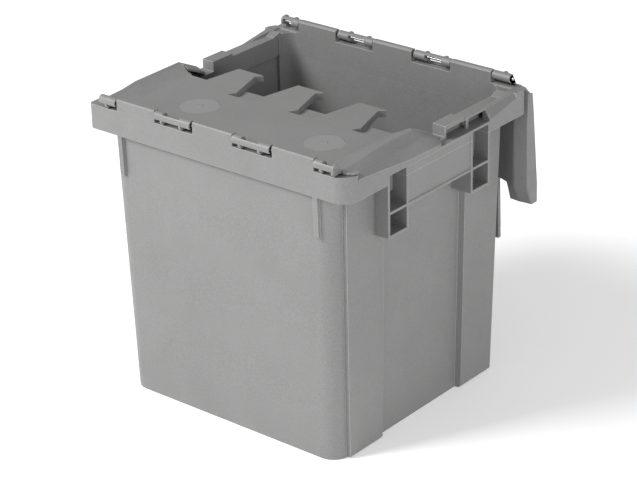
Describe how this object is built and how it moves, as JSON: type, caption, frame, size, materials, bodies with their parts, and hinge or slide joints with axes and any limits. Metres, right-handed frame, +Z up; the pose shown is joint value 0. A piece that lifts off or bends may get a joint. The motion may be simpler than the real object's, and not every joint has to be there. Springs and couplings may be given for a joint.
{
  "type": "attached lid tote",
  "caption": "Grey plastic stacking tote with hinged interlocking finger lids, hinge pockets along its rim and open post hand grips at each end; front lid shut, rear lid hanging open.",
  "frame": {"origin": "centre of the flat underside, on the surface that the tote stands on", "axes": "+X along the hinged sides, +Y from the front hinge to the rear hinge, +Z up"},
  "size_m": [0.394, 0.3678, 0.386],
  "materials": {
    "tote_plastic": "fine moulded grain, satin",
    "lid_plastic": "fine moulded grain, satin",
    "hinge_wire": "drawn galvanised wire"
  },
  "bodies": {
    "tote": {"tote_tub": "tote_plastic", "tote_rim": "tote_plastic", "hand_grip_right": "tote_plastic", "hand_grip_left": "tote_plastic", "front_hinge_rod": "hinge_wire", "rear_hinge_rod": "hinge_wire"},
    "front_lid": {"front_lid": "lid_plastic"},
    "rear_lid": {"rear_lid": "lid_plastic"}
  },
  "joints": [
    {"name": "front_lid_hinge", "type": "hinge", "parent": "tote", "child": "front_lid", "pos_m": [0, -0.1676, 0.3802], "axis": [1, 0, 0], "range_deg": [0, 268]},
    {"name": "rear_lid_hinge", "type": "hinge", "parent": "tote", "child": "rear_lid", "pos_m": [0, 0.1676, 0.3802], "axis": [1, 0, 0], "range_deg": [0, 268]}
  ]
}
